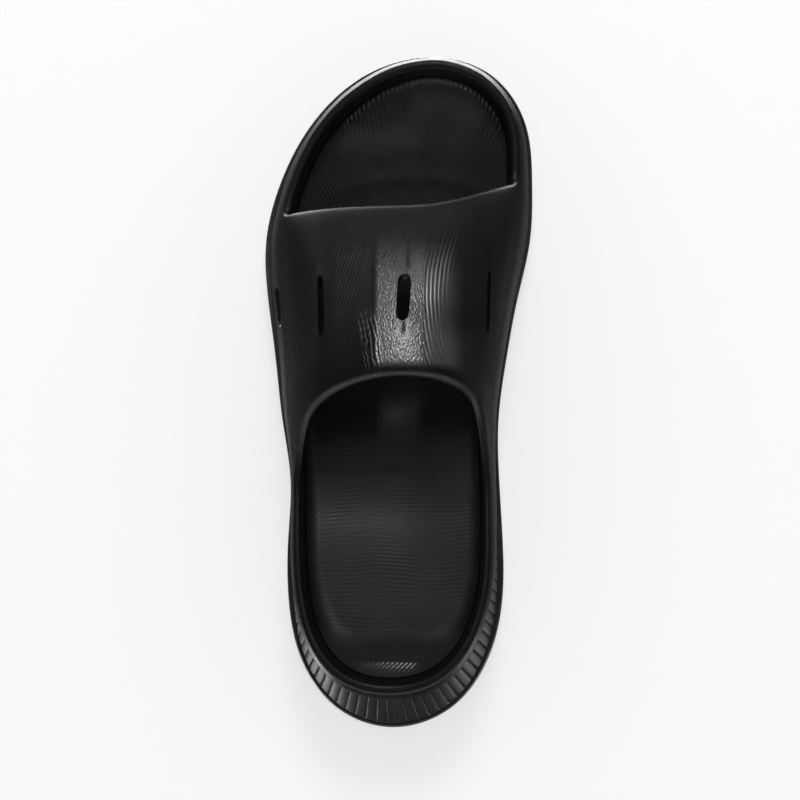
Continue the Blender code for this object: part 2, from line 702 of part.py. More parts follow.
def main():
    for item in list(bpy.data.objects):
        bpy.data.objects.remove(item, do_unlink=True)
    sandal = bpy.data.collections.new("slide_sandal")
    tools = bpy.data.collections.new("cutters")
    bpy.context.scene.collection.children.link(sandal)
    bpy.context.scene.collection.children.link(tools)

    outsole = place("outsole", make_outsole(), foam("tread_foam", (0.012, 0.012, 0.013), 0.60), sandal)
    cutter = place("tread_cutter", tread_cutter(), foam("cutter", (0.5, 0.5, 0.5), 0.5), tools)
    cutter.hide_render = True
    cutter.display_type = "WIRE"
    cut = outsole.modifiers.new("tread", "BOOLEAN")
    cut.operation = "DIFFERENCE"
    cut.solver = "EXACT"
    cut.object = cutter

    place("midsole", make_midsole(), foam("midsole_foam", (0.016, 0.016, 0.017), 0.52), sandal)
    place("footbed", make_footbed(), foam("footbed_foam", (0.014, 0.014, 0.015), 0.58), sandal)
    upper = place("upper", make_upper(), foam("upper_foam", (0.016, 0.016, 0.017), 0.48), sandal)
    rounded = upper.modifiers.new("rounded", "SUBSURF")
    rounded.levels = 1
    rounded.render_levels = 1
    for piece in sandal.objects:
        piece.data.set_sharp_from_angle(angle=np.radians(40))


main()
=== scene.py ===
"""The looks of a sport slide sandal for the left foot, moulded from black foam.

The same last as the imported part's, made finer, with the foam's grain and fine lines in its
materials. Metres, +Z up, the toe towards +Y and the inner side of the foot towards +X.
"""

from collections import namedtuple

import bmesh
import bpy
import numpy as np
from mathutils import Matrix, Vector


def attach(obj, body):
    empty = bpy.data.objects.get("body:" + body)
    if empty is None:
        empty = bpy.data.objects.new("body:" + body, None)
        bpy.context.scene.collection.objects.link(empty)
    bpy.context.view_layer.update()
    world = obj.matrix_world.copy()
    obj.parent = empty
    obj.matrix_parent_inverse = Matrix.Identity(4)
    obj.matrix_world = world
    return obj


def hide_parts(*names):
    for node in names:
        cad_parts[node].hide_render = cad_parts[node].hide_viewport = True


# Overall sizes
LENGTH = 0.302
WIDTH = 0.122
RIM_HEIGHT = 0.048
STACK_HEIGHT = 0.034
STRAP_HEIGHT = 0.0945

# How the sole leaves the floor: how far, where along the length, and how steeply
HEEL_LIFT = 0.006
HEEL_LIFT_ENDS = 0.14
HEEL_LIFT_POWER = 1.6
TOE_SPRING = 0.024
TOE_SPRING_STARTS = 0.64
TOE_SPRING_POWER = 1.9
ARCH_LIFT = 0.0025
ARCH_LIFT_STARTS = 0.30
ARCH_LIFT_RUN = 0.22

# The upper's wall. RIM_SHARE places the rim's round rows across the wall, CORNER_SHARE is how far
# they reach at the strap's corners.
WALL = 0.0055
STRAP_WALL = 0.005
RIM_ROUND = 0.0025
RIM_SHARE = 0.15
CORNER_SHARE = 0.7
WALL_BULGE = 0.0008
FLARE = 0.008
LEAN = 0.15

# The strap's place, measured from the toe tip and along the crest
TOE_OPENING = 0.0783
STRAP_LENGTH = 0.0735
FRONT_LEAD_MEDIAL = 0.0148
FRONT_LEAD_LATERAL = 0.0033
COLLAR_DEPTH = 0.0393
COLLAR_SLANT = 0.0035

# The footbed and its cup. Places along are shares of LENGTH, places across shares of WIDTH, and
# the length of the spine that the cup runs in to is a share of the footbed's.
FOOTBED_WALL = 0.004
CUP_RISE = 0.012
CUP_RUN = 0.019
ARCH_BUMP = 0.006
ARCH_BUMP_LENGTH = 0.045
ARCH_BUMP_ALONG = -0.067
ARCH_BUMP_ACROSS = 0.3
TOE_BAR = 0.0025
TOE_BAR_WIDTH = 0.004
TOE_BAR_ALONG = 0.318
TOE_BAR_ACROSS = 0.05
TOE_BAR_BOW = 0.30
TOE_BAR_HALF = 0.27
TOE_BAR_FADE = 0.08
SPINE_LENGTH = 0.72

# The step between outsole and upper, and the ribs of the heel wall. The grooves end short of the
# wall's edges by a margin, with a dot near their lower end, and fade out where the wall is low.
LEDGE = 0.0026
RIB_PITCH = 0.0051
RIBBED_LENGTH = 0.100
RIB_CROWN = 0.12
GROOVE_WIDTH = 0.0011
GROOVE_DEPTH = 0.0009
GROOVE_MARGIN = 0.0014
DOT_DEPTH = 0.0004
TOP_ROUND = 0.0005
FADE_FROM = 0.004
FADE_OVER = 0.008

# The tread, with the start and end of its flats as shares of LENGTH and the way their grooves bow
TREAD_PITCH = 0.0125
TREAD_WIDTH = 0.0025
TREAD_DEPTH = 0.0018
TREAD_MARGIN = 0.012
TREAD_BOW = 0.004
TREAD_FLATS = ((-0.42, -0.21, -1), (0.03, 0.40, 1))

# Room between neighbouring pieces
GAP = 0.00035

# How fine the shown meshes are
UPPER_LEVELS = 3
WALL_LEVELS = 30
CUP_RINGS = 22
FLOOR_CELLS = 56

# The outsole's rolled lower edge: inset in metres and share of its height
ROLLED_EDGE = (
    (0.0080, 0.0), (0.0060, 0.02), (0.0040, 0.06), (0.0026, 0.13), (0.0014, 0.25),
    (0.0006, 0.40), (0.0002, 0.55), (0.0000, 0.70), (0.0001, 0.85), (0.0002, 0.93))

# A groove of the heel wall: place across in groove widths, and share of its depth
GROOVE_PROFILE = (
    (-0.75, 0.0), (-0.50, 0.08), (-0.34, 0.40), (-0.17, 0.80), (0.0, 1.0),
    (0.17, 0.80), (0.34, 0.40), (0.50, 0.08), (0.75, 0.0))

# One row for each section of the last, from the heel to the toe. along is a share of LENGTH,
# lateral and medial of WIDTH, flare and tuck of FLARE, wall of WALL, rim and seam of RIM_HEIGHT,
# band and floor of STACK_HEIGHT, rise of CUP_RISE, run of CUP_RUN and ledge of LEDGE.
Section = namedtuple(
    "Section",
    "along lateral medial flare_lateral flare_medial tuck_lateral tuck_medial wall "
    "rim seam band floor rise run ledge")
SECTIONS = [Section(*row) for row in (
    (0.000, -0.022, -0.022, 1.36, 1.36, 1.28, 1.28, 1.00, 1.000, 0.750, 0.180, 0.735, 1.00, 1.00, 0.55),
    (0.032, -0.236, 0.202, 1.07, 1.05, 1.00, 0.98, 0.98, 1.065, 0.804, 0.220, 0.826, 0.96, 0.95, 0.60),
    (0.100, -0.358, 0.326, 0.875, 0.79, 0.80, 0.75, 0.87, 1.130, 0.860, 0.303, 0.965, 0.71, 0.63, 0.75),
    (0.190, -0.406, 0.381, 0.75, 0.63, 0.60, 0.55, 0.78, 1.104, 0.770, 0.368, 0.985, 0.46, 0.42, 0.92),
    (0.280, -0.408, 0.383, 0.62, 0.52, 0.35, 0.30, 0.73, 1.052, 0.583, 0.412, 0.956, 0.38, 0.34, 1.00),
    (0.370, -0.400, 0.3715, 0.45, 0.40, 0.18, 0.16, 0.70, 0.974, 0.380, 0.404, 0.860, 0.38, 0.32, 0.92),
    (0.460, -0.431, 0.371, 0.68, 0.33, 0.18, 0.12, 0.75, 0.950, 0.3375, 0.430, 0.810, 0.38, 0.32, 0.85),
    (0.553, -0.458, 0.402, 0.95, 0.32, 0.24, 0.12, 0.82, 0.948, 0.350, 0.456, 0.794, 0.42, 0.32, 0.85),
    (0.643, -0.487, 0.444, 1.10, 0.52, 0.28, 0.14, 0.82, 0.917, 0.3375, 0.441, 0.750, 0.42, 0.32, 0.85),
    (0.730, -0.496, 0.4905, 1.05, 0.66, 0.30, 0.16, 0.85, 0.860, 0.290, 0.376, 0.685, 0.42, 0.32, 0.85),
    (0.818, -0.4425, 0.500, 0.92, 0.60, 0.36, 0.20, 0.92, 0.765, 0.254, 0.300, 0.594, 0.42, 0.32, 0.70),
    (0.906, -0.323, 0.475, 0.83, 0.58, 0.45, 0.30, 0.96, 0.646, 0.270, 0.220, 0.500, 0.33, 0.29, 0.60),
    (0.972, -0.137, 0.360, 0.83, 0.70, 0.50, 0.40, 0.96, 0.550, 0.300, 0.203, 0.438, 0.27, 0.26, 0.60),
    (1.000, 0.134, 0.134, 0.65, 0.65, 0.42, 0.42, 0.96, 0.500, 0.290, 0.206, 0.426, 0.25, 0.26, 0.60),
)]

# The strap's crest, from its front edge to its rear edge. along is a share of the strap's length,
# across a share of WIDTH and height a share of STRAP_HEIGHT.
Crest = namedtuple("Crest", "along across height")
CREST = (
    Crest(0.00, 0.067, 0.720),
    Crest(0.25, 0.061, 0.820),
    Crest(0.50, 0.055, 0.905),
    Crest(0.75, 0.049, 0.965),
    Crest(1.00, 0.042, 0.995),
)

# The cage of the upper: cells round half the toe and half the heel, shares along the strap, and
# shares across it from the lateral base over the crest to the medial base. The shares across are
# given for the strap's two edges, for the slots' start and for the slots' end.
TOE_CELLS = 7
HEEL_CELLS = 11
STRAP_ALONG = (0.0, 0.085, 0.17, 0.255, 0.34, 0.435, 0.535, 0.64, 0.74, 0.825, 0.915, 1.0)
EDGE_ACROSS = (-1.0, -0.92, -0.80, -0.63, -0.37, -0.12, 0.12, 0.38, 0.63, 0.80, 0.92, 1.0)
START_ACROSS = (-1.0, -0.9, -0.71, -0.66, -0.36, -0.072, 0.050, 0.44, 0.80, 0.84, 0.93, 1.0)
END_ACROSS = (-1.0, -0.9, -0.71, -0.66, -0.36, -0.072, 0.050, 0.48, 0.88, 0.908, 0.96, 1.0)

# Where the slots start and end along the strap
MIDDLE_SLOT = (STRAP_ALONG[5], STRAP_ALONG[8])
LATERAL_SLOT = (0.345, 0.70)
MEDIAL_SLOT = (0.35, 0.62)

# How the strap's arch fills out towards its sides: sweep for the line in plan, rise for the height,
# and how flat it is over its middle
SWEEP_FRONT = 1.0
SWEEP_LATERAL = 0.33
SWEEP_MEDIAL = 0.17
ARCH_RISE = 0.62
ARCH_FLATNESS = 2.4
BASE_CREASE = 0.45

# The wall's cage rows between its foot and its rim outside, and between its rim and the cup inside
OUTER_SHARES = (("low", 0.45), ("high", 0.8))
INNER_SHARES = (("inner high", 0.33), ("inner low", 0.67))

# Openings of the cage. A slot takes one cell across and the cells between two shares along.
Slot = namedtuple("Slot", "across first last")
SLOTS = (
    Slot(2, 5, 8),
    Slot(5, 5, 8),
    Slot(8, 5, 8),
)
VENT = Slot(None, 3, 5)
MOUTH_CREASE = 1.0

# What a point of the outline holds
ROW_NAMES = ("x", "y", "flare", "tuck", "wall", "rim", "seam", "band", "rise", "run", "ledge")


def cubic(knots, values, closed=False):
    """A smooth spline through rows of values; the result gives rows and their slopes."""
    knots = np.asarray(knots, float)
    values = np.asarray(values, float)
    steps = np.diff(knots)
    count = len(knots) - 1 if closed else len(knots)
    system = np.eye(count)
    right = np.zeros((count, values.shape[1]))
    slopes = np.diff(values, axis=0) / steps[:, None]
    for i in range(count):
        if not closed and i in (0, count - 1):
            continue
        before = steps[i - 1]
        after = steps[i]
        system[i, i] = 2 * (before + after)
        system[i, i - 1] += before
        system[i, (i + 1) % count] += after
        right[i] = 6 * (slopes[i] - slopes[i - 1])
    bends = np.linalg.solve(system, right)
    if closed:
        bends = np.vstack((bends, bends[:1]))

    def at(where):
        where = np.atleast_1d(np.asarray(where, float))
        cell = np.clip(np.searchsorted(knots, where, side="right") - 1, 0, len(steps) - 1)
        step = steps[cell][:, None]
        ahead = knots[cell + 1][:, None] - where[:, None]
        behind = where[:, None] - knots[cell][:, None]
        low = values[cell] / step - bends[cell] * step / 6
        high = values[cell + 1] / step - bends[cell + 1] * step / 6
        value = (bends[cell] * ahead ** 3 + bends[cell + 1] * behind ** 3) / (6 * step)
        value = value + low * ahead + high * behind
        slope = (bends[cell + 1] * behind ** 2 - bends[cell] * ahead ** 2) / (2 * step)
        slope = slope - low + high
        return value, slope

    return at


def smooth_step(share):
    """0 below 0 and 1 above 1, with a smooth rise between."""
    share = np.clip(share, 0, 1)
    return share * share * (3 - 2 * share)


def ground(y):
    """Height of the sole's underside over the floor."""
    along = np.asarray(y, float) / LENGTH + 0.5
    behind = np.clip(HEEL_LIFT_ENDS - along, 0, None) / HEEL_LIFT_ENDS
    ahead = np.clip(along - TOE_SPRING_STARTS, 0, None) / (1 - TOE_SPRING_STARTS)
    waist = np.clip((along - ARCH_LIFT_STARTS) / ARCH_LIFT_RUN, 0, 1)
    heel = HEEL_LIFT * behind ** HEEL_LIFT_POWER
    toe = TOE_SPRING * ahead ** TOE_SPRING_POWER
    arch = ARCH_LIFT * np.sin(np.pi * waist) ** 2
    return heel + toe + arch


def station(section, side):
    """One section's point of the outline, with its sizes."""
    across = section.lateral if side == "lateral" else section.medial
    flare = section.flare_lateral if side == "lateral" else section.flare_medial
    tuck = section.tuck_lateral if side == "lateral" else section.tuck_medial
    return (
        across * WIDTH,
        (section.along - 0.5) * LENGTH,
        flare * FLARE,
        tuck * FLARE,
        section.wall * WALL,
        section.rim * RIM_HEIGHT,
        section.seam * RIM_HEIGHT,
        section.band * STACK_HEIGHT,
        section.rise * CUP_RISE,
        section.run * CUP_RUN,
        section.ledge * LEDGE,
    )


def outline_rows():
    """The closed outline, clockwise from above: toe tip, medial side, heel tip, lateral side."""
    inner = SECTIONS[1:-1]
    rows = [station(SECTIONS[-1], "medial")]
    rows += [station(section, "medial") for section in reversed(inner)]
    rows += [station(SECTIONS[0], "medial")]
    rows += [station(section, "lateral") for section in inner]
    rows += [rows[0]]
    return np.array(rows)


ROWS = outline_rows()
KNOTS = np.concatenate(([0.0], np.cumsum(np.hypot(*np.diff(ROWS[:, :2], axis=0).T))))
HEEL_TIP = KNOTS[len(SECTIONS) - 1]
AROUND = KNOTS[-1]
OUTLINE = cubic(KNOTS, ROWS, closed=True)
FLOOR = cubic([section.along for section in SECTIONS],
              [[section.floor * STACK_HEIGHT] for section in SECTIONS])
CREST_LINE = cubic([row.along for row in CREST],
                   [[row.across * WIDTH, row.height * STRAP_HEIGHT] for row in CREST])
TRACE = np.linspace(0, AROUND, 1500)
TRACE_POINTS = OUTLINE(TRACE)[0][:, :2]
MIDDLE = (TRACE_POINTS.max(axis=0) + TRACE_POINTS.min(axis=0)) / 2


def around(where):
    """The outline at given distances: a dictionary of columns, with the direction inwards."""
    values, slopes = OUTLINE(where)
    row = dict(zip(ROW_NAMES, values.T))
    row["x"] = row["x"] - MIDDLE[0]
    row["y"] = row["y"] - MIDDLE[1]
    length = np.hypot(slopes[:, 0], slopes[:, 1])
    row["inward"] = np.column_stack((slopes[:, 1], -slopes[:, 0])) / length[:, None]
    row["ground"] = ground(row["y"])
    row["cup"] = row["flare"] + row["wall"] + LEAN * row["run"]
    row["cup_top"] = floor_height(*plan(row, row["cup"]).T) + row["rise"]
    return row


def plan(row, inset):
    """Points in plan at an inset from the outline."""
    return np.column_stack((row["x"], row["y"])) + row["inward"] * np.reshape(inset, (-1, 1))


def ring(row, inset, height):
    """Points at an inset from the outline and a height over the floor."""
    return np.column_stack((plan(row, inset), height))


def base_height(y):
    """Height of the footbed's middle before its bumps."""
    along = np.clip(np.asarray(y, float) / LENGTH + 0.5, 0, 1)
    return FLOOR(along.ravel())[0][:, 0].reshape(along.shape) + ground(y)


def floor_height(x, y):
    """Height of the footbed, with its arch bump and its toe bar."""
    arch = np.exp(-((y - ARCH_BUMP_ALONG * LENGTH) / ARCH_BUMP_LENGTH) ** 2)
    bump = ARCH_BUMP * arch * smooth_step(x / (ARCH_BUMP_ACROSS * WIDTH))
    off_middle = x / WIDTH - TOE_BAR_ACROSS
    bar_middle = TOE_BAR_ALONG * LENGTH - TOE_BAR_BOW * LENGTH * off_middle ** 2
    inside = 1 - smooth_step((np.abs(off_middle) - TOE_BAR_HALF) / TOE_BAR_FADE)
    bar = TOE_BAR * np.exp(-((y - bar_middle) / TOE_BAR_WIDTH) ** 2) * inside
    return base_height(y) + bump + bar


def shoulder(row, inset):
    """Height of the midsole's shoulder, square to the slope of the upper's underside by a gap.

    That underside is a straight slope from the upper's foot in to the cup's edge.
    """
    foot = row["ground"] + row["seam"]
    slope = (row["cup_top"] - foot) / (row["cup"] - row["tuck"])
    return foot + slope * (inset - row["tuck"]) - GAP * np.hypot(1, slope)


def even_columns(count):
    """Distances round the outline, as many on the medial as on the lateral side."""
    half = count // 2
    medial = np.linspace(0, HEEL_TIP, half + 1)
    lateral = np.linspace(HEEL_TIP, AROUND, half + 1)
    return np.concatenate((medial, lateral[1:-1]))


def ribbed_columns(plain):
    """Distances round the outline with the ribs' columns, and the groove's share at each."""
    grooves = round(RIBBED_LENGTH / RIB_PITCH)
    from_heel = [0.0]
    depth = [-RIB_CROWN]
    for k in range(grooves):
        middle = (k + 0.5) * RIB_PITCH
        for offset, share in GROOVE_PROFILE:
            from_heel.append(middle + offset * GROOVE_WIDTH)
            depth.append(share)
        from_heel.append((k + 1) * RIB_PITCH)
        depth.append(-RIB_CROWN)
    last = from_heel[-1]
    shares = np.arange(1, plain + 1) / (plain + 1)
    medial = np.concatenate((from_heel, last + shares * (HEEL_TIP - last)))
    lateral = np.concatenate((from_heel, last + shares * (AROUND - HEEL_TIP - last)))
    depth = np.concatenate((depth, np.zeros(plain)))
    where = np.concatenate(([0.0], HEEL_TIP - medial[::-1], HEEL_TIP + lateral[1:]))
    share = np.concatenate(([0.0], depth[::-1], depth[1:]))
    return where, share


def solid_of_rings(rings, top=None, cells=1):
    """A closed mesh: rings from the inner edge below round to the inner edge above, and two caps.

    The lower cap has straight cross lines. So has the upper one, unless top gives its height from
    x and y over a number of cells across.
    """
    mesh = bmesh.new()
    loops = [[mesh.verts.new(point) for point in points] for points in rings]
    for low, high in zip(loops, loops[1:]):
        for i in range(len(low)):
            j = (i + 1) % len(low)
            mesh.faces.new((low[i], low[j], high[j], high[i]))
    fill_across(mesh, loops[0], None, 1)
    fill_across(mesh, loops[-1], top, cells)
    bmesh.ops.recalc_face_normals(mesh, faces=mesh.faces)
    return mesh


def fill_across(mesh, loop, height, cells):
    """Close a loop with lines across it, from each point to its partner on the other side."""
    half = len(loop) // 2
    lines = []
    for i in range(1, half):
        near = loop[i]
        far = loop[-i]
        line = [near]
        for k in range(1, cells):
            point = near.co.lerp(far.co, k / cells)
            if height is not None:
                point.z = float(height(point.x, point.y))
            line.append(mesh.verts.new(point))
        line.append(far)
        lines.append(line)
    for k in range(cells):
        mesh.faces.new((loop[0], lines[0][k], lines[0][k + 1]))
        mesh.faces.new((loop[half], lines[-1][k + 1], lines[-1][k]))
    for line, following in zip(lines, lines[1:]):
        for k in range(cells):
            mesh.faces.new((line[k], following[k], following[k + 1], line[k + 1]))


def make_outsole():
    """The outsole: a rolled lower edge, a smooth side band and a flat top."""
    row = around(even_columns(360))
    rings = []
    for inset, share in ROLLED_EDGE:
        points = plan(row, inset)
        low = ground(points[:, 1])
        high = row["ground"] + row["band"]
        rings.append(np.column_stack((points, low + (high - low) * share)))
    rings.append(ring(row, 0.0006, row["ground"] + row["band"]))
    return solid_of_rings(rings)


def tread_lines():
    """Middle lines of the tread's grooves, as rows of points in plan."""
    points = TRACE_POINTS - MIDDLE
    heel = np.argmin(points[:, 1])
    medial = points[:heel + 1][::-1]
    lateral = points[heel:]
    lateral = lateral[np.argsort(lateral[:, 1])]
    lines = []
    for start, end, bow in TREAD_FLATS:
        count = int((end - start) * LENGTH / TREAD_PITCH)
        for k in range(count + 1):
            y = start * LENGTH + k * TREAD_PITCH
            left = np.interp(y, lateral[:, 1], lateral[:, 0]) + TREAD_MARGIN
            right = np.interp(y, medial[:, 1], medial[:, 0]) - TREAD_MARGIN
            share = np.linspace(-1, 1, 25)
            x = (left + right) / 2 + share * (right - left) / 2
            lines.append(np.column_stack((x, y + bow * TREAD_BOW * (0.5 - share ** 2))))
    return lines


def tread_cutter():
    """Bars that cut the tread's grooves into the outsole, following its underside."""
    mesh = bmesh.new()
    for line in tread_lines():
        heights = ground(line[:, 1]) + TREAD_DEPTH
        loops = []
        for (x, y), height in zip(line, heights):
            corners = (
                (x, y - TREAD_WIDTH / 2, height - 2 * TREAD_DEPTH),
                (x, y + TREAD_WIDTH / 2, height - 2 * TREAD_DEPTH),
                (x, y + 0.3 * TREAD_WIDTH, height),
                (x, y - 0.3 * TREAD_WIDTH, height),
            )
            loops.append([mesh.verts.new(corner) for corner in corners])
        for low, high in zip(loops, loops[1:]):
            for i in range(4):
                mesh.faces.new((low[i], low[i - 1], high[i - 1], high[i]))
        mesh.faces.new(loops[0])
        mesh.faces.new(loops[-1][::-1])
    bmesh.ops.recalc_face_normals(mesh, faces=mesh.faces)
    return mesh


def make_midsole():
    """The midsole: a ribbed wall, a shoulder under the upper and a pocket for the footbed."""
    where, share = ribbed_columns(150)
    row = around(where)
    foot = row["ground"] + row["band"] + GAP
    top_inset = np.maximum(row["tuck"] + GAP, row["ledge"])
    top = np.maximum(shoulder(row, top_inset), foot + 2 * GAP)
    height = top - foot
    fade = smooth_step((height - FADE_FROM) / FADE_OVER)
    margin = np.minimum(GROOVE_MARGIN, 0.2 * height)
    rings = []
    for level in np.linspace(0, 1, WALL_LEVELS):
        rise = level * height
        cut = smooth_step((rise - 0.5 * margin) / margin)
        cut = cut * smooth_step((height - 0.4 * margin - rise) / margin)
        dot = np.exp(-((rise - 1.9 * margin) / (0.6 * margin)) ** 2) * np.clip(share, 0, 1) ** 2
        depth = fade * (share * cut * GROOVE_DEPTH + dot * DOT_DEPTH)
        round_top = TOP_ROUND * smooth_step((rise - height + TOP_ROUND) / TOP_ROUND) ** 2
        inset = row["ledge"] + (top_inset - row["ledge"]) * level + depth + round_top
        rings.append(ring(row, inset, foot + rise))
    half_way = (top_inset + row["cup"]) / 2
    rings.append(ring(row, half_way, shoulder(row, half_way)))
    rings.append(ring(row, row["cup"], shoulder(row, row["cup"])))
    pocket = plan(row, row["cup"])
    rings.append(np.column_stack((pocket, base_height(pocket[:, 1]) - FOOTBED_WALL - GAP)))
    return solid_of_rings(rings)


def make_footbed():
    """The footbed: a cup whose edge rises round the foot, over a plain underside."""
    row = around(even_columns(440))
    edge = plan(row, row["cup"] + GAP)
    half = len(edge) // 2
    partner = edge[(-np.arange(len(edge))) % len(edge)]
    middle = (edge + partner) / 2
    spine_y = middle[:, 1] * SPINE_LENGTH
    spine_x = np.interp(spine_y, middle[half::-1, 1], middle[half::-1, 0])
    inward = np.column_stack((spine_x, spine_y)) - edge
    inward = inward / np.hypot(inward[:, 0], inward[:, 1])[:, None]
    rings = [np.column_stack((edge, base_height(edge[:, 1]) - FOOTBED_WALL))]
    for turn in np.linspace(0, 90, CUP_RINGS):
        angle = np.radians(turn)
        points = edge + inward * (row["run"] * (1 - np.cos(angle)))[:, None]
        height = floor_height(points[:, 0], points[:, 1]) + row["rise"] * (1 - np.sin(angle))
        rings.append(np.column_stack((points, height)))
    return solid_of_rings(rings, floor_height, FLOOR_CELLS)


def where_at(y, side):
    """Distance round the outline at which a side of it has a given y."""
    points = TRACE_POINTS[:, 1] - MIDDLE[1]
    toe = np.argmax(points)
    heel = np.argmin(points)
    if side == "medial":
        rows = np.arange(toe, heel + 1) if toe < heel else np.arange(0, heel + 1)
        return np.interp(-y, -points[rows], TRACE[rows])
    rows = np.arange(heel, len(points)) if toe < heel else np.arange(heel, toe + 1)
    return np.interp(y, points[rows], TRACE[rows])


def through(points):
    """Cage points whose smooth limit passes through the given closed row of points."""
    count = len(points)
    system = np.eye(count) * 4 / 6
    for i in range(count):
        system[i, i - 1] += 1 / 6
        system[i, (i + 1) % count] += 1 / 6
    return np.linalg.solve(system, points)


def upper_columns():
    """Distances round the outline of the upper's columns, from the toe tip over the medial side."""
    front = LENGTH / 2 - TOE_OPENING
    rear = front - STRAP_LENGTH - COLLAR_DEPTH
    medial_front = where_at(front + FRONT_LEAD_MEDIAL, "medial")
    lateral_front = where_at(front + FRONT_LEAD_LATERAL, "lateral")
    medial_rear = where_at(rear, "medial")
    lateral_rear = where_at(rear, "lateral")
    shares = np.array(STRAP_ALONG)
    return np.concatenate((
        np.linspace(0, medial_front, TOE_CELLS + 1)[:-1],
        medial_front + shares * (medial_rear - medial_front),
        np.linspace(medial_rear, HEEL_TIP, HEEL_CELLS + 1)[1:],
        np.linspace(HEEL_TIP, lateral_rear, HEEL_CELLS + 1)[1:-1],
        lateral_front + shares[::-1] * (lateral_rear - lateral_front),
        np.linspace(lateral_front, AROUND, TOE_CELLS + 1)[1:-1],
    ))


def wall_rows():
    """The upper's wall as closed rows of cage points: foot to rim outside, rim to cup inside."""
    row = around(upper_columns())
    foot = row["ground"] + row["seam"]
    edge = row["ground"] + row["rim"] - RIM_ROUND
    rows = {"foot": ring(row, row["tuck"], foot)}
    for name, share in OUTER_SHARES:
        inset = row["tuck"] + (row["flare"] - row["tuck"]) * share - WALL_BULGE
        rows[name] = ring(row, inset, foot + (edge - foot) * share)
    rows["rim"] = ring(row, row["flare"], edge)
    inner = row["flare"] + row["wall"]
    rows["inner rim"] = ring(row, inner, edge)
    for name, share in INNER_SHARES:
        inset = inner + (row["cup"] - inner) * share
        rows[name] = ring(row, inset, edge + (row["cup_top"] - edge) * share)
    rows["cup"] = ring(row, row["cup"], row["cup_top"])
    return {name: through(points) for name, points in rows.items()}


def strap_point(lateral, medial, along, across, drop):
    """A point of the strap on an arch from one base over the crest to the other.

    drop is the depth below the outside. The inside reaches further back, so the collar slants.
    """
    crest_x, crest_z = CREST_LINE(along)[0][0]
    crest_y = LENGTH / 2 - TOE_OPENING - along * (STRAP_LENGTH + COLLAR_SLANT * drop / STRAP_WALL)
    base, sweep_rear = (lateral, SWEEP_LATERAL) if across < 0 else (medial, SWEEP_MEDIAL)
    sweep = SWEEP_FRONT + (sweep_rear - SWEEP_FRONT) * along
    x = crest_x + (base[0] - crest_x) * abs(across)
    y = base[1] + (crest_y - base[1]) * (1 - across ** 2) ** sweep
    z = base[2] + (crest_z - drop - base[2]) * (1 - abs(across) ** ARCH_FLATNESS) ** ARCH_RISE
    return np.array((x, y, z))


def rim_at(points, share):
    """A point of one of the strap's bases, between the rim's points at STRAP_ALONG."""
    return [np.interp(share, STRAP_ALONG, column) for column in points.T]


class Cage:
    """Points with names, and the faces and creases between them."""

    def __init__(self):
        self.mesh = bmesh.new()
        self.crease = self.mesh.edges.layers.float.new("crease_edge")
        self.points = {}

    def point(self, name, place):
        self.points[name] = self.mesh.verts.new(place)

    def face(self, *names):
        self.mesh.faces.new([self.points[name] for name in names])

    def sharpen(self, names, amount):
        for first, second in zip(names, names[1:]):
            edge = self.mesh.edges.get((self.points[first], self.points[second]))
            edge[self.crease] = amount

    def tunnel(self, outer, inner):
        """Join the border of a hole outside with the border of the hole inside."""
        outer = outer + outer[:1]
        inner = inner + inner[:1]
        for i in range(len(outer) - 1):
            self.face(outer[i], outer[i + 1], inner[i + 1], inner[i])
        self.sharpen(outer, MOUTH_CREASE)
        self.sharpen(inner, MOUTH_CREASE)


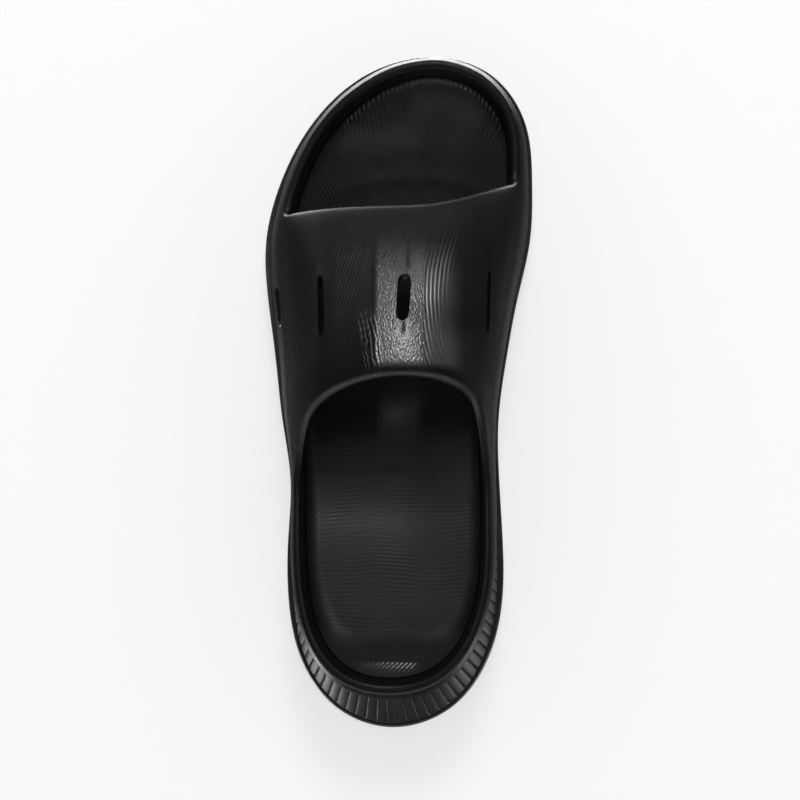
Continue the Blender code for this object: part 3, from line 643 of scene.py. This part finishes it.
def make_upper():
    """The upper: one hollow wall, with a strap arched over it and openings cut through."""
    cage = Cage()
    rows = wall_rows()
    count = len(rows["foot"])
    cells_along = len(STRAP_ALONG) - 1
    cells_across = len(EDGE_ACROSS) - 1
    medial_front = TOE_CELLS
    medial_rear = medial_front + cells_along
    lateral_rear = medial_rear + 2 * HEEL_CELLS
    lateral_front = lateral_rear + cells_along
    for name, points in rows.items():
        for i, place in enumerate(points):
            cage.point((name, i), place)

    def strap_name(side, r, c):
        base = "rim" if side == "outer" else "inner rim"
        if r == 0:
            return (base, lateral_front - c)
        if r == cells_across:
            return (base, medial_front + c)
        return (side, r, c)

    slot_ends = {}
    for slot, ends in zip(SLOTS, (LATERAL_SLOT, MIDDLE_SLOT, MEDIAL_SLOT)):
        slot_ends[slot.across] = ends
        slot_ends[slot.across + 1] = ends
    stations = (0, *MIDDLE_SLOT, 1)
    for side, base, drop in (("outer", "rim", 0.0), ("inner", "inner rim", STRAP_WALL)):
        lateral = np.array([rows[base][lateral_front - c] for c in range(cells_along + 1)])
        medial = np.array([rows[base][medial_front + c] for c in range(cells_along + 1)])
        for c, along in enumerate(STRAP_ALONG):
            for r in range(1, cells_across):
                share = np.interp(along, stations, (0, *slot_ends.get(r, MIDDLE_SLOT), 1))
                shares_across = (EDGE_ACROSS[r], START_ACROSS[r], END_ACROSS[r], EDGE_ACROSS[r])
                across = np.interp(along, stations, shares_across)
                bases = [rim_at(rim, share) for rim in (lateral, medial)]
                cage.point((side, r, c), strap_point(*bases, share, across, drop))

    open_cells = {(slot.across, c) for slot in SLOTS for c in range(slot.first, slot.last)}
    for side in ("outer", "inner"):
        for r in range(cells_across):
            for c in range(cells_along):
                if (r, c) in open_cells:
                    continue
                corners = ((r, c), (r, c + 1), (r + 1, c + 1), (r + 1, c))
                cage.face(*[strap_name(side, *corner) for corner in corners])

    vent = range(lateral_front - VENT.last, lateral_front - VENT.first)
    outside = ("foot", "low", "high", "rim")
    inside = ("inner rim", "inner high", "inner low", "cup")
    for names in (outside, inside, ("cup", "foot")):
        for low, high in zip(names, names[1:]):
            for i in range(count):
                if i in vent and (low, high) in (("low", "high"), ("inner high", "inner low")):
                    continue
                j = (i + 1) % count
                cage.face((low, i), (low, j), (high, j), (high, i))

    corners = (lateral_front, medial_front, medial_rear, lateral_rear)
    make_rims(cage, strap_name, corners, count, cells_across)

    for slot in SLOTS:
        cells = [(slot.across, c) for c in range(slot.first, slot.last)]
        cells += [(slot.across, slot.last)]
        cells += [(slot.across + 1, c) for c in range(slot.last, slot.first - 1, -1)]
        outer = [strap_name("outer", *cell) for cell in cells]
        inner = [strap_name("inner", *cell) for cell in cells]
        cage.tunnel(outer, inner)
    columns = list(range(vent.start, vent.stop + 1))
    outer = [("low", i) for i in columns] + [("high", i) for i in reversed(columns)]
    inner = [("inner low", i) for i in columns] + [("inner high", i) for i in reversed(columns)]
    cage.tunnel(outer, inner)
    for name in ("foot", "cup"):
        cage.sharpen([(name, i % count) for i in range(count + 1)], 1.0)
    for first, last in ((medial_front, medial_rear), (lateral_rear, lateral_front)):
        cage.sharpen([("rim", i) for i in range(first, last + 1)], BASE_CREASE)
    bmesh.ops.recalc_face_normals(cage.mesh, faces=cage.mesh.faces)
    return cage.mesh


def make_rims(cage, strap_name, corners, count, cells_across):
    """Round the edges of the toe opening and the collar, along the wall and along the strap."""
    lateral_front, medial_front, medial_rear, lateral_rear = corners
    last = len(STRAP_ALONG) - 1
    toe_wall = [(i % count) for i in range(lateral_front, count + medial_front + 1)]
    heel_wall = list(range(medial_rear, lateral_rear + 1))
    toe_strap = [(r, 0, 1) for r in range(cells_across - 1, 0, -1)]
    heel_strap = [(r, last, last - 1) for r in range(1, cells_across)]
    for label, wall, strap in (("toe", toe_wall, toe_strap), ("heel", heel_wall, heel_strap)):
        loop = []
        up = np.array((0, 0, RIM_ROUND))
        ahead = np.array((0, RIM_ROUND if label == "toe" else -RIM_ROUND, 0))
        for i in wall:
            offset = CORNER_SHARE * (up + ahead) if i in corners else up
            loop.append((("rim", i), ("inner rim", i), offset))
        for r, c, behind in strap:
            outer = strap_name("outer", r, c)
            inner = strap_name("inner", r, c)
            back = strap_name("outer", r, behind)
            run = np.array(cage.points[outer].co - cage.points[back].co)
            loop.append((outer, inner, RIM_ROUND * run / np.linalg.norm(run)))
        for k, (outer, inner, offset) in enumerate(loop):
            start = np.array(cage.points[outer].co)
            end = np.array(cage.points[inner].co)
            cage.point((label, "first", k), start + RIM_SHARE * (end - start) + offset)
            cage.point((label, "second", k), start + (1 - RIM_SHARE) * (end - start) + offset)
        for k in range(len(loop)):
            j = (k + 1) % len(loop)
            here = (loop[k][0], (label, "first", k), (label, "second", k), loop[k][1])
            there = (loop[j][0], (label, "first", j), (label, "second", j), loop[j][1])
            for m in range(3):
                cage.face(here[m], there[m], there[m + 1], here[m + 1])


# Fine relief of the upper, its lengths in metres. A pair is where a stretch starts and ends, or where
# it fades: along the foot with Y or FADE in its name, over the floor with HEIGHTS, otherwise across
# the foot. CENTRE is a point in plan, and DEPTH is how high the relief stands.
STRAP_HEIGHTS = (0.052, 0.066)
WALL_HEIGHTS = (0.044, 0.056)
WALL_LINES_PITCH = 0.0013
WALL_LINES_DEPTH = 0.00003
GRAIN_SIZE = 0.0007
GRAIN_STRETCH = (1, 2.2, 1)
GRAIN_TURN = np.radians(-38)
GRAIN_DEPTH = 0.00002
BAND_GRAIN_DEPTH = 0.00030
PORE_SIZE = 0.0008
PORE_DEPTH = 0.00005
BAND = (-0.0067, 0.0145)
BAND_FADE = (0.028, 0.060)
LIP_FADE = (-0.003, 0.001)
GLOSS_EDGE = 0.0275
ARC_CENTRE = (0.1131, 0.0315)
ARC_EDGE = 0.0218
ARC_EDGE_SLANT = 0.131
ARC_PITCH = 0.0017
ARC_DEPTH = 0.00016
ARC_Y = (-0.002, 0.062)
FINE_LINES = (-0.0250, -0.0085)
FINE_LINES_Y = (-0.002, 0.055)
FINE_LINES_TURN = np.radians(-17)
FINE_PITCH = 0.0015
FINE_DEPTH = 0.00012
FOLDS = (-0.0115, -0.0035)
FOLDS_Y = (-0.003, 0.023)
FOLD_SLANT = 0.16
FOLD_PITCH = 0.0020
FOLD_DEPTH = 0.00022
FOLD_SHINE = 0.15
CREASE = 0.0050
CREASE_SLANT = 0.043
CREASE_AHEAD_Y = (0.0420, 0.0570)
CREASE_BEHIND_Y = (0.0117, 0.0188)
CREASE_WIDTH = 0.0009
CREASE_DEPTH = 0.00035
CREASE_DULLS = 0.8

# Fine relief of the other foams, named the same way. FAN is the point that the toe's lines lead to,
# SLANT the parts of a direction in plan.
BED_GRAIN_SIZE = 0.0007
BED_GRAIN_DEPTH = 0.00004
BED_PITCH = 0.0019
BED_DEPTHS = (0.00001, 0.000035)
BED_SLANT = (0.80, -0.45)
BED_TOES_Y = (0.075, 0.085)
TOE_FAN = (0.005, 0.015)
TOE_FAN_RADIUS = 0.10
TOE_FAN_STRENGTH = 11.0
HEEL_SHINE = (-0.018, 0.009)
HEEL_SHINE_Y = (-0.134, -0.1245)
HEEL_SHINE_WEIGHT = 0.9
HEEL_LINES_SLANT = (0.75, -0.66)
HEEL_LINES_PITCH = 0.0016
HEEL_LINES_DEPTH = 0.00025
MATT_Y = (-0.006, 0.112)
MATT_HEEL_Y = (-0.118, -0.106)
MATT_ROUGHNESS = 0.45
SOLE_GRAIN_SIZE = 0.0009
SOLE_GRAIN_DEPTH = 0.00006
HATCH_SLANT = (0.7, 0.7)
HATCH_PITCH = 0.0014
HATCH_DEPTH = 0.00008
HATCH_Y = (0.02, 0.06)

# The shine of the places with a coat
COAT_ROUGHNESS = 0.35
COAT_IOR = 2.4

# The camera: its place and aim, and a pixel of its picture in metres at a distance
CAMERA = (0.0681, -0.2399, 1.5075)
AIM = (0.0012, -0.0059, 0.026)
PIXEL = 0.0004474
IMAGE = 800
DISTANCE = 1.5
SENSOR = 36.0

# The lamp and the floor
LAMP_PLACE = (0.10, 0.98, 1.40)
LAMP_AIM = (0, 0.02, 0.08)
LAMP_SIZE = (0.42, 0.48)
LAMP_POWER = 8.5
FLOOR_GLOW = 0.60
BACKDROP = 3.0
COVE = 0.5
COVE_STEPS = 9
COVE_TURNS = 96

# The surround's stretches, as parts of a direction from the sandal: x to the sides, y from behind
# the heel to ahead of the toe and z from straight below to overhead. Then how bright they are.
SKY_OVERHEAD_Z = (0.50, 0.85)
SKY_STEEP_Z = (-0.97, -0.86)
SKY_STEEP_X = (0.10, 0.30)
SKY_REAR_Z = (-0.90, -0.62)
SKY_REAR_Y = (-0.30, -0.10)
SKY_REAR_X = (0.48, 0.65)
SKY_AHEAD_Z = (-0.87, -0.15)
SKY_AHEAD_Y = (0.50, 0.75)
SKY_BEHIND_Z = (-0.17, 0.30)
SKY_BEHIND_Y = (-0.70, -0.40)
SKY_BASE = 0.03
SKY_OVERHEAD = 0.25
SKY_LEFT = 0.7
SKY_RIGHT = 0.4
SKY_LEFT_REAR = 14.0
SKY_RIGHT_REAR = 6.0
SKY_AHEAD = 11.0
SKY_BEHIND = 3.5

# Edges of the shown meshes that bend by more than this stay sharp
SHARP_ANGLE = np.radians(50)


class Fields:
    """Short calls for a node tree's number fields over a place."""

    def __init__(self, tree, coordinates):
        self.nodes = tree.nodes
        self.links = tree.links
        self.place = self.nodes.new("ShaderNodeTexCoord").outputs[coordinates]
        split = self.nodes.new("ShaderNodeSeparateXYZ")
        self.links.new(self.place, split.inputs[0])
        self.x, self.y, self.z = split.outputs

    def put(self, value, socket):
        if isinstance(value, bpy.types.NodeSocket):
            self.links.new(value, socket)
        else:
            socket.default_value = value

    def math(self, operation, *values):
        node = self.nodes.new("ShaderNodeMath")
        node.operation = operation
        for value, socket in zip(values, node.inputs):
            self.put(value, socket)
        return node.outputs[0]

    def add(self, *values):
        total = values[0]
        for value in values[1:]:
            total = self.math("ADD", total, value)
        return total

    def times(self, *values):
        total = values[0]
        for value in values[1:]:
            total = self.math("MULTIPLY", total, value)
        return total

    def blend(self, share, low, high):
        """low where the share is 0 and high where it is 1."""
        rest = self.add(1.0, self.times(share, -1.0))
        return self.add(self.times(share, high), self.times(rest, low))

    def ramp(self, value, low, high, start=0.0, end=1.0):
        """A smooth change from start to end while value goes from low to high."""
        node = self.nodes.new("ShaderNodeMapRange")
        node.interpolation_type = "SMOOTHSTEP"
        for number, socket in zip((low, high, start, end), node.inputs[1:5]):
            socket.default_value = number
        self.put(value, node.inputs[0])
        return node.outputs[0]

    def past(self, value, edge, soft):
        """0 before an edge and 1 past it."""
        return self.ramp(value, edge - soft, edge + soft)

    def before(self, value, edge, soft):
        """1 before an edge and 0 past it."""
        return self.ramp(value, edge - soft, edge + soft, 1, 0)

    def window(self, value, low, high, soft):
        """1 between low and high and 0 outside, with soft edges."""
        return self.times(self.past(value, low, soft), self.before(value, high, soft))

    def along(self, direction):
        """Distance in plan along a direction."""
        return self.add(self.times(self.x, direction[0]), self.times(self.y, direction[1]))

    def noise(self, size, detail=2.0, stretch=(1, 1, 1), turn=0.0):
        """Noise of about a size, stretched along the axes after a turn about the vertical."""
        mapping = self.nodes.new("ShaderNodeMapping")
        mapping.inputs["Rotation"].default_value = (0, 0, turn)
        mapping.inputs["Scale"].default_value = tuple(1 / part for part in stretch)
        self.links.new(self.place, mapping.inputs["Vector"])
        node = self.nodes.new("ShaderNodeTexNoise")
        node.inputs["Scale"].default_value = 1 / size
        node.inputs["Detail"].default_value = detail
        self.links.new(mapping.outputs[0], node.inputs["Vector"])
        return node.outputs[0]

    def grooves(self, distance, pitch):
        """Waves from 0 to 1 along a distance."""
        wave = self.math("SINE", self.times(distance, 2 * np.pi / pitch))
        return self.add(self.times(wave, 0.5), 0.5)

    def bend(self, distance, noise, amount):
        """A distance moved by up to half an amount each way, after a noise."""
        return self.add(distance, self.times(self.add(noise, -0.5), amount))


class Foam(Fields):
    """The material of one foam: its fields, a bump and its shader's sockets."""

    def __init__(self, name, colour):
        self.material = bpy.data.materials.new(name)
        self.material.use_nodes = True
        super().__init__(self.material.node_tree, "Object")
        self.shader = self.nodes["Principled BSDF"]
        self.shader.inputs["Base Color"].default_value = (*colour, 1.0)

    def bump(self, height):
        node = self.nodes.new("ShaderNodeBump")
        node.inputs["Strength"].default_value = 1.0
        node.inputs["Distance"].default_value = 1.0
        self.links.new(height, node.inputs["Height"])
        self.links.new(node.outputs[0], self.shader.inputs["Normal"])
        self.links.new(node.outputs[0], self.shader.inputs["Coat Normal"])

    def rough(self, roughness):
        self.put(roughness, self.shader.inputs["Roughness"])

    def mottle(self, size, low, high):
        """Patches of about a size, between two values of roughness."""
        return self.ramp(self.noise(size, 3.0), 0.3, 0.7, low, high)

    def coat(self, weight):
        """A shiny coat where the weight isn't 0."""
        self.put(weight, self.shader.inputs["Coat Weight"])
        self.shader.inputs["Coat Roughness"].default_value = COAT_ROUGHNESS
        self.shader.inputs["Coat IOR"].default_value = COAT_IOR


def upper_foam():
    """Matt foam: leather grain and shine down the strap's middle, fine flowing lines beside it."""
    foam = Foam("upper foam", (0.0036, 0.0033, 0.0036))
    on_strap = foam.ramp(foam.z, *STRAP_HEIGHTS)
    ahead_of_lip = foam.ramp(foam.y, *LIP_FADE)
    pebbled = foam.times(foam.before(foam.y, BAND_FADE[1], 0.004), ahead_of_lip)
    band = foam.times(foam.window(foam.x, *BAND, 0.0012), pebbled, on_strap)
    grain = foam.noise(GRAIN_SIZE, 1.0, GRAIN_STRETCH, GRAIN_TURN)
    height = foam.times(grain, foam.add(foam.times(band, BAND_GRAIN_DEPTH), GRAIN_DEPTH))
    height = foam.add(height, foam.times(foam.noise(PORE_SIZE, 1.0), PORE_DEPTH))

    dx = foam.add(foam.x, -ARC_CENTRE[0])
    dy = foam.add(foam.y, -ARC_CENTRE[1])
    radius = foam.math("SQRT", foam.add(foam.times(dx, dx), foam.times(dy, dy)))
    arcs = foam.grooves(foam.bend(radius, foam.noise(0.02), 0.0012), ARC_PITCH)
    arc_mask = foam.times(
        foam.past(foam.x, BAND[1], 0.001),
        foam.before(foam.along((1.0, -ARC_EDGE_SLANT)), ARC_EDGE, 0.001),
        foam.window(foam.y, *ARC_Y, 0.006),
        on_strap,
    )
    height = foam.add(height, foam.times(arcs, arc_mask, ARC_DEPTH))

    slanted = foam.along((np.cos(FINE_LINES_TURN), np.sin(FINE_LINES_TURN)))
    lines = foam.grooves(foam.bend(slanted, foam.noise(0.014), 0.003), FINE_PITCH)
    line_mask = foam.times(
        foam.window(foam.x, *FINE_LINES, 0.002),
        foam.window(foam.y, *FINE_LINES_Y, 0.006),
        on_strap,
    )
    height = foam.add(height, foam.times(lines, line_mask, FINE_DEPTH))

    across = foam.along((1.0, FOLD_SLANT))
    folds = foam.grooves(foam.bend(across, foam.noise(0.007), 0.003), FOLD_PITCH)
    fold_mask = foam.times(
        foam.window(across, *FOLDS, 0.0006),
        foam.window(foam.y, *FOLDS_Y, 0.004),
        on_strap,
    )
    height = foam.add(height, foam.times(folds, fold_mask, FOLD_DEPTH))

    wall_lines = foam.grooves(foam.bend(foam.z, foam.noise(0.03), 0.004), WALL_LINES_PITCH)
    on_wall = foam.ramp(foam.z, *WALL_HEIGHTS, 1, 0)
    height = foam.add(height, foam.times(wall_lines, on_wall, WALL_LINES_DEPTH))

    from_crease = foam.times(foam.add(foam.along((1.0, -CREASE_SLANT)), -CREASE), 1 / CREASE_WIDTH)
    crease_mask = foam.add(
        foam.window(foam.y, *CREASE_AHEAD_Y, 0.003),
        foam.window(foam.y, *CREASE_BEHIND_Y, 0.002),
    )
    crease = foam.math("EXPONENT", foam.times(from_crease, from_crease, -1.0))
    crease = foam.times(crease, crease_mask, on_strap)
    height = foam.add(height, foam.times(crease, -CREASE_DEPTH))
    foam.bump(height)

    foam.rough(foam.mottle(0.004, 0.38, 0.46))
    gloss = foam.times(
        foam.past(foam.x, BAND[0], 0.0012),
        foam.before(foam.x, GLOSS_EDGE, 0.005),
        foam.ramp(foam.y, *BAND_FADE, 1, 0),
        ahead_of_lip,
        on_strap,
        foam.add(1.0, foam.times(crease, -CREASE_DULLS)),
    )
    foam.coat(foam.math("MAXIMUM", gloss, foam.times(fold_mask, folds, FOLD_SHINE)))
    foam.shader.inputs["Specular IOR Level"].default_value = 0.22
    return foam.material


def footbed_foam():
    """Satin foam with crosswise fine grooves, patches of slanted ones and a fan at the toes."""
    foam = Foam("footbed foam", (0.0080, 0.0072, 0.0080))
    patches = foam.ramp(foam.noise(0.028, 1.0), 0.53, 0.60)
    crosswise = foam.grooves(foam.bend(foam.y, foam.noise(0.03, 1.0), 0.006), BED_PITCH)
    slanted = foam.bend(foam.along(BED_SLANT), foam.noise(0.012, 1.0), 0.006)
    middle = foam.blend(patches, crosswise, foam.grooves(slanted, BED_PITCH))
    angle = foam.math("ARCTAN2", foam.add(foam.x, -TOE_FAN[0]), foam.add(foam.y, -TOE_FAN[1]))
    fan = foam.bend(foam.times(angle, TOE_FAN_RADIUS), foam.noise(0.03, 1.0), 0.004)
    fan = foam.times(foam.grooves(fan, BED_PITCH), TOE_FAN_STRENGTH)
    lines = foam.blend(foam.ramp(foam.y, *BED_TOES_Y), middle, fan)
    depth = foam.ramp(foam.noise(0.035, 1.0), 0.42, 0.58, *BED_DEPTHS)
    heel_mask = foam.times(
        foam.window(foam.x, *HEEL_SHINE, 0.003),
        foam.window(foam.y, *HEEL_SHINE_Y, 0.001),
    )
    heel_lines = foam.grooves(foam.along(HEEL_LINES_SLANT), HEEL_LINES_PITCH)
    height = foam.add(
        foam.times(lines, depth),
        foam.times(heel_lines, heel_mask, HEEL_LINES_DEPTH),
        foam.times(foam.noise(BED_GRAIN_SIZE, 1.0), BED_GRAIN_DEPTH),
    )
    foam.bump(height)
    matt = foam.math(
        "MAXIMUM",
        foam.window(foam.y, *MATT_Y, 0.008),
        foam.ramp(foam.y, *MATT_HEEL_Y, 1, 0),
    )
    foam.rough(foam.add(foam.mottle(0.006, 0.38, 0.46), foam.times(matt, MATT_ROUGHNESS)))
    foam.coat(foam.times(heel_mask, HEEL_SHINE_WEIGHT))
    return foam.material


def midsole_foam():
    """Satin foam with a fine grain, and slanted hatching on its low step at the toe."""
    foam = Foam("midsole foam", (0.0080, 0.0072, 0.0080))
    hatch = foam.grooves(foam.along(HATCH_SLANT), HATCH_PITCH)
    at_toes = foam.ramp(foam.y, *HATCH_Y)
    grain = foam.times(foam.noise(SOLE_GRAIN_SIZE), SOLE_GRAIN_DEPTH)
    foam.bump(foam.add(grain, foam.times(hatch, at_toes, HATCH_DEPTH)))
    foam.rough(foam.mottle(0.005, 0.36, 0.44))
    return foam.material


def tread_foam():
    """Matt foam, a little rougher than the midsole's."""
    foam = Foam("tread foam", (0.0060, 0.0056, 0.0060))
    foam.bump(foam.times(foam.noise(SOLE_GRAIN_SIZE), SOLE_GRAIN_DEPTH))
    foam.rough(foam.mottle(0.006, 0.38, 0.46))
    return foam.material


def floor_paper():
    """A pale floor with a faint glow and a barely seen grain."""
    paper = Foam("floor paper", (0.45, 0.45, 0.45))
    paper.shader.inputs["Specular IOR Level"].default_value = 0.1
    paper.shader.inputs["Emission Color"].default_value = (1.0, 1.0, 1.0, 1.0)
    paper.shader.inputs["Emission Strength"].default_value = FLOOR_GLOW
    paper.rough(paper.ramp(paper.noise(0.02, 3.0), 0.2, 0.8, 0.86, 0.94))
    return paper.material


def new_object(name, data):
    """An object in the scene."""
    item = bpy.data.objects.new(name, data)
    bpy.context.scene.collection.objects.link(item)
    return item


def shown(name, mesh, material, levels=0, cutter=None):
    """A piece of the look: its final mesh, with subdivision and cuts worked in."""
    data = bpy.data.meshes.new(name + " draft")
    mesh.to_mesh(data)
    mesh.free()
    piece = new_object(name, data)
    if levels:
        rounded = piece.modifiers.new("rounded", "SUBSURF")
        rounded.levels = levels
        rounded.render_levels = levels
    if cutter:
        cut = piece.modifiers.new("cut", "BOOLEAN")
        cut.operation = "DIFFERENCE"
        cut.solver = "EXACT"
        cut.object = cutter
    bpy.context.view_layer.update()
    graph = bpy.context.evaluated_depsgraph_get()
    final = bpy.data.meshes.new_from_object(piece.evaluated_get(graph))
    final.name = name
    piece.modifiers.clear()
    piece.data = final
    bpy.data.meshes.remove(data)
    final.materials.clear()
    final.materials.append(material)
    final.shade_smooth()
    final.set_sharp_from_angle(angle=SHARP_ANGLE)
    return piece


def make_lamp():
    """A soft lamp ahead of the toe and overhead."""
    lamp = bpy.data.lights.new("overhead lamp", "AREA")
    lamp.shape = "RECTANGLE"
    lamp.size, lamp.size_y = LAMP_SIZE
    lamp.energy = LAMP_POWER
    holder = new_object("overhead lamp", lamp)
    holder.location = LAMP_PLACE
    aim = Vector(LAMP_AIM) - Vector(LAMP_PLACE)
    holder.rotation_euler = aim.to_track_quat("-Z", "Y").to_euler()


def make_camera():
    """A camera high behind the heel, with the toe up in the picture."""
    data = bpy.data.cameras.new("camera")
    data.sensor_width = SENSOR
    data.lens = SENSOR * DISTANCE / (PIXEL * IMAGE)
    camera = new_object("camera", data)
    back = (Vector(CAMERA) - Vector(AIM)).normalized()
    right = Vector((0, 1, 0)).cross(back).normalized()
    turn = Matrix((right, back.cross(right), back)).transposed()
    camera.matrix_world = Matrix.Translation(CAMERA) @ turn.to_4x4()
    bpy.context.scene.camera = camera


def make_backdrop():
    """A pale round floor that curves up into a wall all around, and isn't mirrored by the foam."""
    bend = np.radians(np.linspace(0, 90, COVE_STEPS))
    profile = [(BACKDROP - COVE + COVE * np.sin(a), COVE - COVE * np.cos(a)) for a in bend]
    profile.append((BACKDROP, BACKDROP))
    angles = 2 * np.pi * np.arange(COVE_TURNS) / COVE_TURNS
    mesh = bmesh.new()
    middle = mesh.verts.new((0, 0, 0))
    loops = []
    for radius, height in profile:
        places = [(radius * np.cos(a), radius * np.sin(a), height) for a in angles]
        loops.append([mesh.verts.new(place) for place in places])
    for i in range(COVE_TURNS):
        j = (i + 1) % COVE_TURNS
        mesh.faces.new((middle, loops[0][i], loops[0][j]))
        for low, high in zip(loops, loops[1:]):
            mesh.faces.new((low[i], high[i], high[j], low[j]))
    data = bpy.data.meshes.new("floor")
    mesh.to_mesh(data)
    mesh.free()
    data.shade_smooth()
    data.materials.append(floor_paper())
    floor = new_object("floor", data)
    floor.visible_glossy = False


def make_surround():
    """The light that the foam mirrors, in the floor's place too.

    It is dim overhead, weak straight below, brightest low ahead and low on both sides of the rear.
    """
    world = bpy.data.worlds.new("surround")
    world.use_nodes = True
    world.cycles.sampling_method = "NONE"
    sky = Fields(world.node_tree, "Generated")
    steep = sky.ramp(sky.z, *SKY_STEEP_Z, 1, 0)
    rear = sky.times(sky.window(sky.z, *SKY_REAR_Z, 0.06), sky.ramp(sky.y, *SKY_REAR_Y, 1, 0))
    ahead = sky.times(sky.window(sky.z, *SKY_AHEAD_Z, 0.08), sky.ramp(sky.y, *SKY_AHEAD_Y))
    behind = sky.times(sky.window(sky.z, *SKY_BEHIND_Z, 0.08), sky.ramp(sky.y, *SKY_BEHIND_Y, 1, 0))
    overhead = sky.ramp(sky.z, *SKY_OVERHEAD_Z, 0, SKY_OVERHEAD)
    light = sky.add(SKY_BASE, overhead, sky.times(ahead, SKY_AHEAD), sky.times(behind, SKY_BEHIND))
    for side, side_light, rear_light in (
            (-1, SKY_LEFT, SKY_LEFT_REAR),
            (1, SKY_RIGHT, SKY_RIGHT_REAR)):
        outward = sky.times(sky.x, side)
        below = sky.times(steep, sky.ramp(outward, *SKY_STEEP_X, 0, side_light))
        beside = sky.times(rear, sky.ramp(outward, *SKY_REAR_X, 0, rear_light))
        light = sky.add(light, below, beside)
    background = world.node_tree.nodes["Background"]
    background.inputs[0].default_value = (1, 1, 1, 1)
    sky.put(light, background.inputs[1])
    bpy.context.scene.world = world


def main():
    tread = shown("tread cutter", tread_cutter(), None)
    pieces = {
        "outsole": shown("sandal_outsole", make_outsole(), tread_foam(), cutter=tread),
        "midsole": shown("sandal_midsole", make_midsole(), midsole_foam()),
        "footbed": shown("sandal_footbed", make_footbed(), footbed_foam()),
        "upper": shown("sandal_upper", make_upper(), upper_foam(), levels=UPPER_LEVELS),
    }
    bpy.data.objects.remove(tread, do_unlink=True)
    for node, piece in pieces.items():
        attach(piece, "root")
        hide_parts(node)
    make_backdrop()
    make_lamp()
    make_surround()
    make_camera()


bpy.context.scene.view_settings.view_transform = "Standard"
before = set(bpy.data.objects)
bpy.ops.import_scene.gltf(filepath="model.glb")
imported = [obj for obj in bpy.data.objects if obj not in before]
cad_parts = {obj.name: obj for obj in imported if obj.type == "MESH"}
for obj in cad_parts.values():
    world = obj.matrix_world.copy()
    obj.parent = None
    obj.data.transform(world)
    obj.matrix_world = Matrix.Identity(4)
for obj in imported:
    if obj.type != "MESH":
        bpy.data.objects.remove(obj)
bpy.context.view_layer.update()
main()
